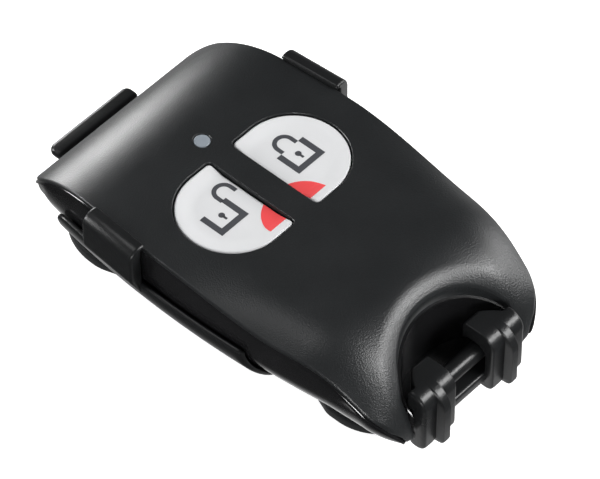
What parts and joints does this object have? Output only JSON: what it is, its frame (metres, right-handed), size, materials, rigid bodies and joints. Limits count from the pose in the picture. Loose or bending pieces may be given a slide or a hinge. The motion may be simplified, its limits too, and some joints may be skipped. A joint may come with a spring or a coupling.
{
  "type": "alarm key fob",
  "caption": "Handheld alarm remote with lock and unlock buttons, indicator lens and scalloped lanyard end, snapped into a hooked cradle with a sprung belt clip.",
  "frame": {"origin": "under the middle of the part, on the back face of the belt clip", "axes": "+X across the fob towards the lock button, +Y towards the indicator end, +Z out of the front face"},
  "size_m": [0.0402, 0.0672, 0.0211],
  "materials": {
    "front_plastic": "fine spark-eroded matte",
    "rear_plastic": "gloss",
    "bar_plastic": "satin",
    "button_plastic": "soft gloss",
    "lens_plastic": "clear tinted",
    "board_laminate": "solder mask",
    "switch_metal": "plain",
    "chip_plastic": "matte",
    "contact_brass": "plain",
    "cell_metal": "brushed",
    "cradle_plastic": "satin",
    "clip_plastic": "satin"
  },
  "bodies": {
    "fob": {"front_cover": "front_plastic", "rear_cover": "rear_plastic", "lanyard_bar": "bar_plastic", "led_lens": "lens_plastic", "circuit_board": "board_laminate", "lock_switch": "switch_metal", "unlock_switch": "switch_metal", "indicator_led": "lens_plastic", "radio_chip": "chip_plastic", "crystal": "switch_metal", "antenna": "contact_brass", "board_passives": "chip_plastic", "coin_cell": "cell_metal", "battery_clip": "switch_metal", "battery_contact": "contact_brass", "case_screws": "switch_metal", "clip_cradle": "cradle_plastic", "clip_pin": "switch_metal", "clip_spring": "switch_metal"},
    "lock_button": {"lock_button": "button_plastic"},
    "unlock_button": {"unlock_button": "button_plastic"},
    "lock_plunger": {"lock_plunger": "chip_plastic"},
    "unlock_plunger": {"unlock_plunger": "chip_plastic"},
    "belt_clip": {"belt_clip": "clip_plastic"}
  },
  "joints": [
    {"name": "lock_press", "type": "slide", "parent": "fob", "child": "lock_button", "axis": [0, 0, -1], "range_m": [0, 0.0004], "stiffness_N_per_m": 800, "springref_m": -0.0003},
    {"name": "unlock_press", "type": "slide", "parent": "fob", "child": "unlock_button", "axis": [0, 0, -1], "range_m": [0, 0.0004], "stiffness_N_per_m": 800, "springref_m": -0.0003},
    {"name": "lock_plunge", "type": "slide", "parent": "fob", "child": "lock_plunger", "axis": [0, 0, -1], "range_m": [0, 0.0004]},
    {"name": "unlock_plunge", "type": "slide", "parent": "fob", "child": "unlock_plunger", "axis": [0, 0, -1], "range_m": [0, 0.0004]},
    {"name": "clip_hinge", "type": "hinge", "parent": "fob", "child": "belt_clip", "pos_m": [0, -0.005, 0.00415], "axis": [-1, 0, 0], "range_deg": [0, 12], "stiffness_Nm_per_rad": 0.3, "springref_deg": -11.46, "deforming": ["clip_spring"]}
  ],
  "couplings": [
    {"joint": "lock_plunge", "follows": "lock_press", "ratio": 1},
    {"joint": "unlock_plunge", "follows": "unlock_press", "ratio": 1}
  ]
}
